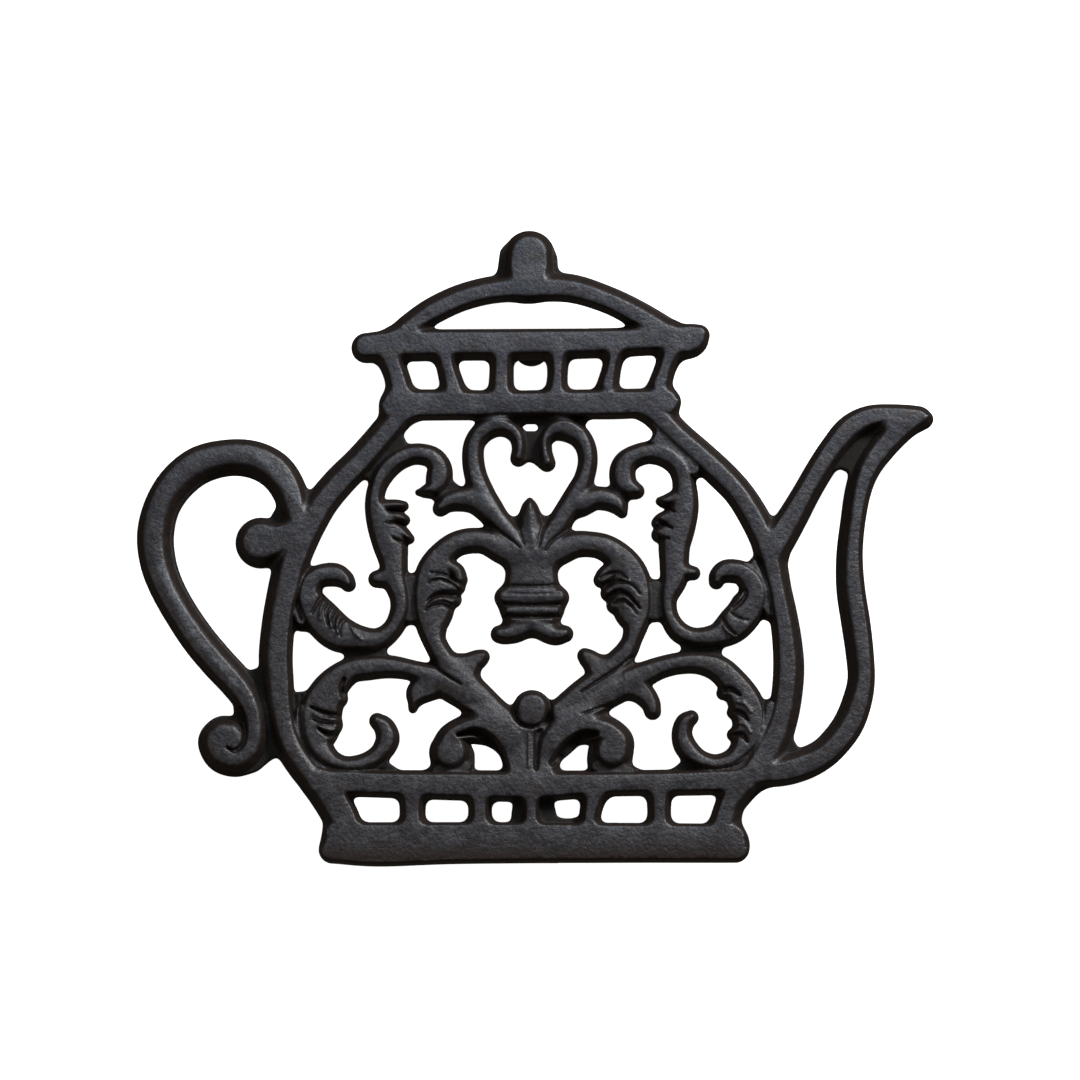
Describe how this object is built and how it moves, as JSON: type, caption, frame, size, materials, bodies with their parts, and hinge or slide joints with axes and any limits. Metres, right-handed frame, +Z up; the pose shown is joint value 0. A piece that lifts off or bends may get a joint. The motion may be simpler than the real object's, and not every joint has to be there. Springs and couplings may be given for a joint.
{
  "type": "openwork trivet",
  "caption": "Flat cast-iron trivet shaped like a teapot, openwork scrolls inside a raised rim, standing on push-on rubber feet.",
  "frame": {"origin": "bottom centre of the bounding box, on the table under the rubber feet", "axes": "+X towards the spout, +Y towards the lid knob, +Z up out of the relief face"},
  "size_m": [0.216, 0.173, 0.019],
  "materials": {
    "iron": "sand-cast, dark grey with a thin satin coat, brown-black in the recesses",
    "rubber": "moulded black rubber, matte"
  },
  "bodies": {
    "root": {"trivet_casting": "iron", "foot_cap_brim": "rubber", "foot_cap_base": "rubber", "foot_cap_handle": "rubber", "foot_cap_spout": "rubber"}
  },
  "joints": []
}
